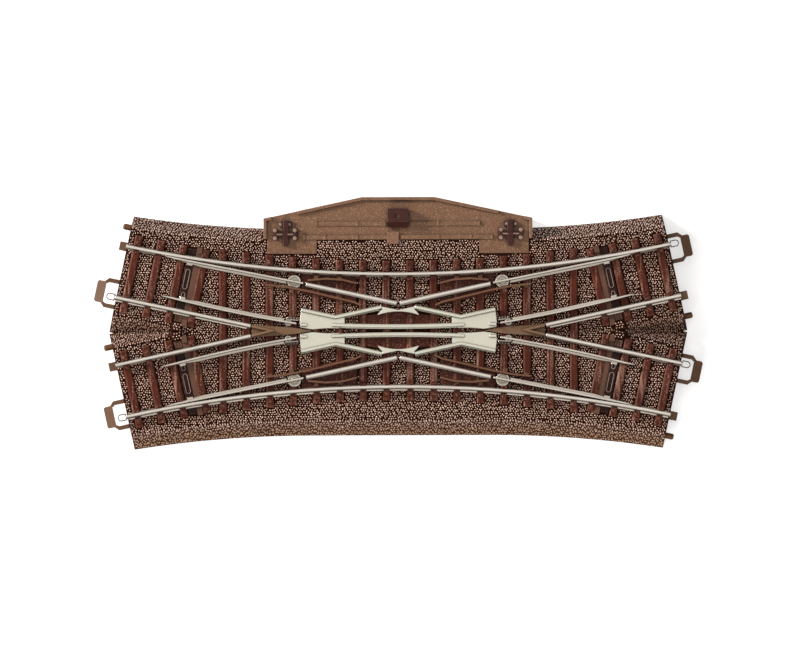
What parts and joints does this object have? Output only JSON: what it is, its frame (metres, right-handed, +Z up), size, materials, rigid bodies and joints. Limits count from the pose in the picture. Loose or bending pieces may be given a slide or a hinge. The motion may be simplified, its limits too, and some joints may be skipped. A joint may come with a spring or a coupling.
{
  "type": "double slip turnout",
  "caption": "Model railway double slip turnout on a moulded ballast roadbed, with crossing straight tracks, curved slip routes, hinged point blades and a hand-knob linkage.",
  "frame": {"origin": "crossing centre of the two straight tracks, on the plane the roadbed stands on", "axes": "+X along the turnout, between the two straight tracks; +Y toward the mechanism cover; +Z up"},
  "size_m": [0.202, 0.0832, 0.0108],
  "materials": {
    "ballast": "moulded ballast texture",
    "sleeper": "matt moulded",
    "rail": "drawn nickel-silver look",
    "casting": "bright cast metal",
    "tan": "satin moulded",
    "check": "satin moulded",
    "dark": "satin moulded",
    "knob": "satin moulded",
    "link": "matt moulded",
    "screw": "zinc plated"
  },
  "bodies": {
    "roadbed": {"roadbed": "ballast", "sleepers": "sleeper", "stock_rail_back": "rail", "stock_rail_front": "rail", "crossing_back": "casting", "crossing_front": "casting", "frog_left": "tan", "frog_right": "tan", "check_rails_long": "check", "check_rails_short": "check", "heel_washers": "rail", "heel_rivets": "rail", "bar_guides": "tan", "cover": "tan", "lantern_foot_left": "knob", "lantern_foot_right": "knob", "coupling_loops": "tan", "coupling_tongues": "ballast", "joiner_springs": "rail", "keeper_center": "link", "keeper_left": "link", "keeper_right": "link", "keeper_screws": "screw", "crank_screw": "screw", "inner_rail_back_right": "rail", "inner_rail_back_left": "rail", "inner_rail_front_right": "rail", "inner_rail_front_left": "rail", "closure_rail_back_right": "rail", "closure_rail_back_left": "rail", "closure_rail_front_right": "rail", "closure_rail_front_left": "rail"},
    "drive_slide": {"drive_slide": "link"},
    "hand_knob": {"hand_knob": "knob", "knob_carriage": "link"},
    "bell_crank": {"bell_crank": "link"},
    "throw_bar_back_right": {"throw_bar_back_right": "dark"},
    "throw_bar_back_left": {"throw_bar_back_left": "dark"},
    "throw_bar_front_right": {"throw_bar_front_right": "dark"},
    "throw_bar_front_left": {"throw_bar_front_left": "dark"},
    "outer_blade_back_right": {"outer_blade_back_right": "rail"},
    "outer_blade_back_left": {"outer_blade_back_left": "rail"},
    "outer_blade_front_right": {"outer_blade_front_right": "rail"},
    "outer_blade_front_left": {"outer_blade_front_left": "rail"},
    "inner_blade_back_right": {"inner_blade_back_right": "rail"},
    "inner_blade_back_left": {"inner_blade_back_left": "rail"},
    "inner_blade_front_right": {"inner_blade_front_right": "rail"},
    "inner_blade_front_left": {"inner_blade_front_left": "rail"}
  },
  "joints": [
    {"name": "drive_slide_travel", "type": "slide", "parent": "roadbed", "child": "drive_slide", "axis": [1, 0, 0], "range_m": [0, 0.003]},
    {"name": "hand_knob_travel", "type": "slide", "parent": "roadbed", "child": "hand_knob", "axis": [0, 1, 0], "range_m": [0, 0.0025]},
    {"name": "bell_crank_pivot", "type": "hinge", "parent": "roadbed", "child": "bell_crank", "pos_m": [-0.014, 0.03865, 0.0039], "axis": [0, 0, 1], "range_deg": [0, 10.25]},
    {"name": "throw_bar_back_right_travel", "type": "slide", "parent": "roadbed", "child": "throw_bar_back_right", "axis": [0.2105, -0.9776, 0], "range_m": [0, 0.0025]},
    {"name": "throw_bar_back_left_travel", "type": "slide", "parent": "roadbed", "child": "throw_bar_back_left", "axis": [-0.2105, -0.9776, 0], "range_m": [0, 0.0025]},
    {"name": "throw_bar_front_right_travel", "type": "slide", "parent": "roadbed", "child": "throw_bar_front_right", "axis": [0.2105, 0.9776, 0], "range_m": [0, 0.0025]},
    {"name": "throw_bar_front_left_travel", "type": "slide", "parent": "roadbed", "child": "throw_bar_front_left", "axis": [-0.2105, 0.9776, 0], "range_m": [0, 0.0025]},
    {"name": "outer_blade_back_right_pivot", "type": "hinge", "parent": "roadbed", "child": "outer_blade_back_right", "pos_m": [0.03454, 0.01633, 0.0089], "axis": [0, 0, -1], "range_deg": [0, 4.09]},
    {"name": "outer_blade_back_left_pivot", "type": "hinge", "parent": "roadbed", "child": "outer_blade_back_left", "pos_m": [-0.03454, 0.01633, 0.0089], "axis": [0, 0, 1], "range_deg": [0, 4.09]},
    {"name": "outer_blade_front_right_pivot", "type": "hinge", "parent": "roadbed", "child": "outer_blade_front_right", "pos_m": [0.03454, -0.01633, 0.0089], "axis": [0, 0, 1], "range_deg": [0, 4.09]},
    {"name": "outer_blade_front_left_pivot", "type": "hinge", "parent": "roadbed", "child": "outer_blade_front_left", "pos_m": [-0.03454, -0.01633, 0.0089], "axis": [0, 0, -1], "range_deg": [0, 4.09]},
    {"name": "inner_blade_back_right_pivot", "type": "hinge", "parent": "roadbed", "child": "inner_blade_back_right", "pos_m": [0.0365, 0.00282, 0.0089], "axis": [0, 0, -1], "range_deg": [0, 3.98]},
    {"name": "inner_blade_back_left_pivot", "type": "hinge", "parent": "roadbed", "child": "inner_blade_back_left", "pos_m": [-0.0365, 0.00282, 0.0089], "axis": [0, 0, 1], "range_deg": [0, 3.98]},
    {"name": "inner_blade_front_right_pivot", "type": "hinge", "parent": "roadbed", "child": "inner_blade_front_right", "pos_m": [0.0365, -0.00282, 0.0089], "axis": [0, 0, 1], "range_deg": [0, 3.98]},
    {"name": "inner_blade_front_left_pivot", "type": "hinge", "parent": "roadbed", "child": "inner_blade_front_left", "pos_m": [-0.0365, -0.00282, 0.0089], "axis": [0, 0, -1], "range_deg": [0, 3.98]}
  ],
  "couplings": [
    {"joint": "hand_knob_travel", "follows": "drive_slide_travel", "ratio": 0.83333},
    {"joint": "bell_crank_pivot", "follows": "drive_slide_travel", "rad_per_m": 59.603},
    {"joint": "throw_bar_back_right_travel", "follows": "drive_slide_travel", "ratio": 0.83333},
    {"joint": "throw_bar_back_left_travel", "follows": "drive_slide_travel", "ratio": 0.83333},
    {"joint": "throw_bar_front_right_travel", "follows": "drive_slide_travel", "ratio": 0.83333},
    {"joint": "throw_bar_front_left_travel", "follows": "drive_slide_travel", "ratio": 0.83333},
    {"joint": "outer_blade_back_right_pivot", "follows": "drive_slide_travel", "rad_per_m": 23.777},
    {"joint": "outer_blade_back_left_pivot", "follows": "drive_slide_travel", "rad_per_m": 23.777},
    {"joint": "outer_blade_front_right_pivot", "follows": "drive_slide_travel", "rad_per_m": 23.777},
    {"joint": "outer_blade_front_left_pivot", "follows": "drive_slide_travel", "rad_per_m": 23.777},
    {"joint": "inner_blade_back_right_pivot", "follows": "drive_slide_travel", "rad_per_m": 23.151},
    {"joint": "inner_blade_back_left_pivot", "follows": "drive_slide_travel", "rad_per_m": 23.151},
    {"joint": "inner_blade_front_right_pivot", "follows": "drive_slide_travel", "rad_per_m": 23.151},
    {"joint": "inner_blade_front_left_pivot", "follows": "drive_slide_travel", "rad_per_m": 23.151}
  ]
}
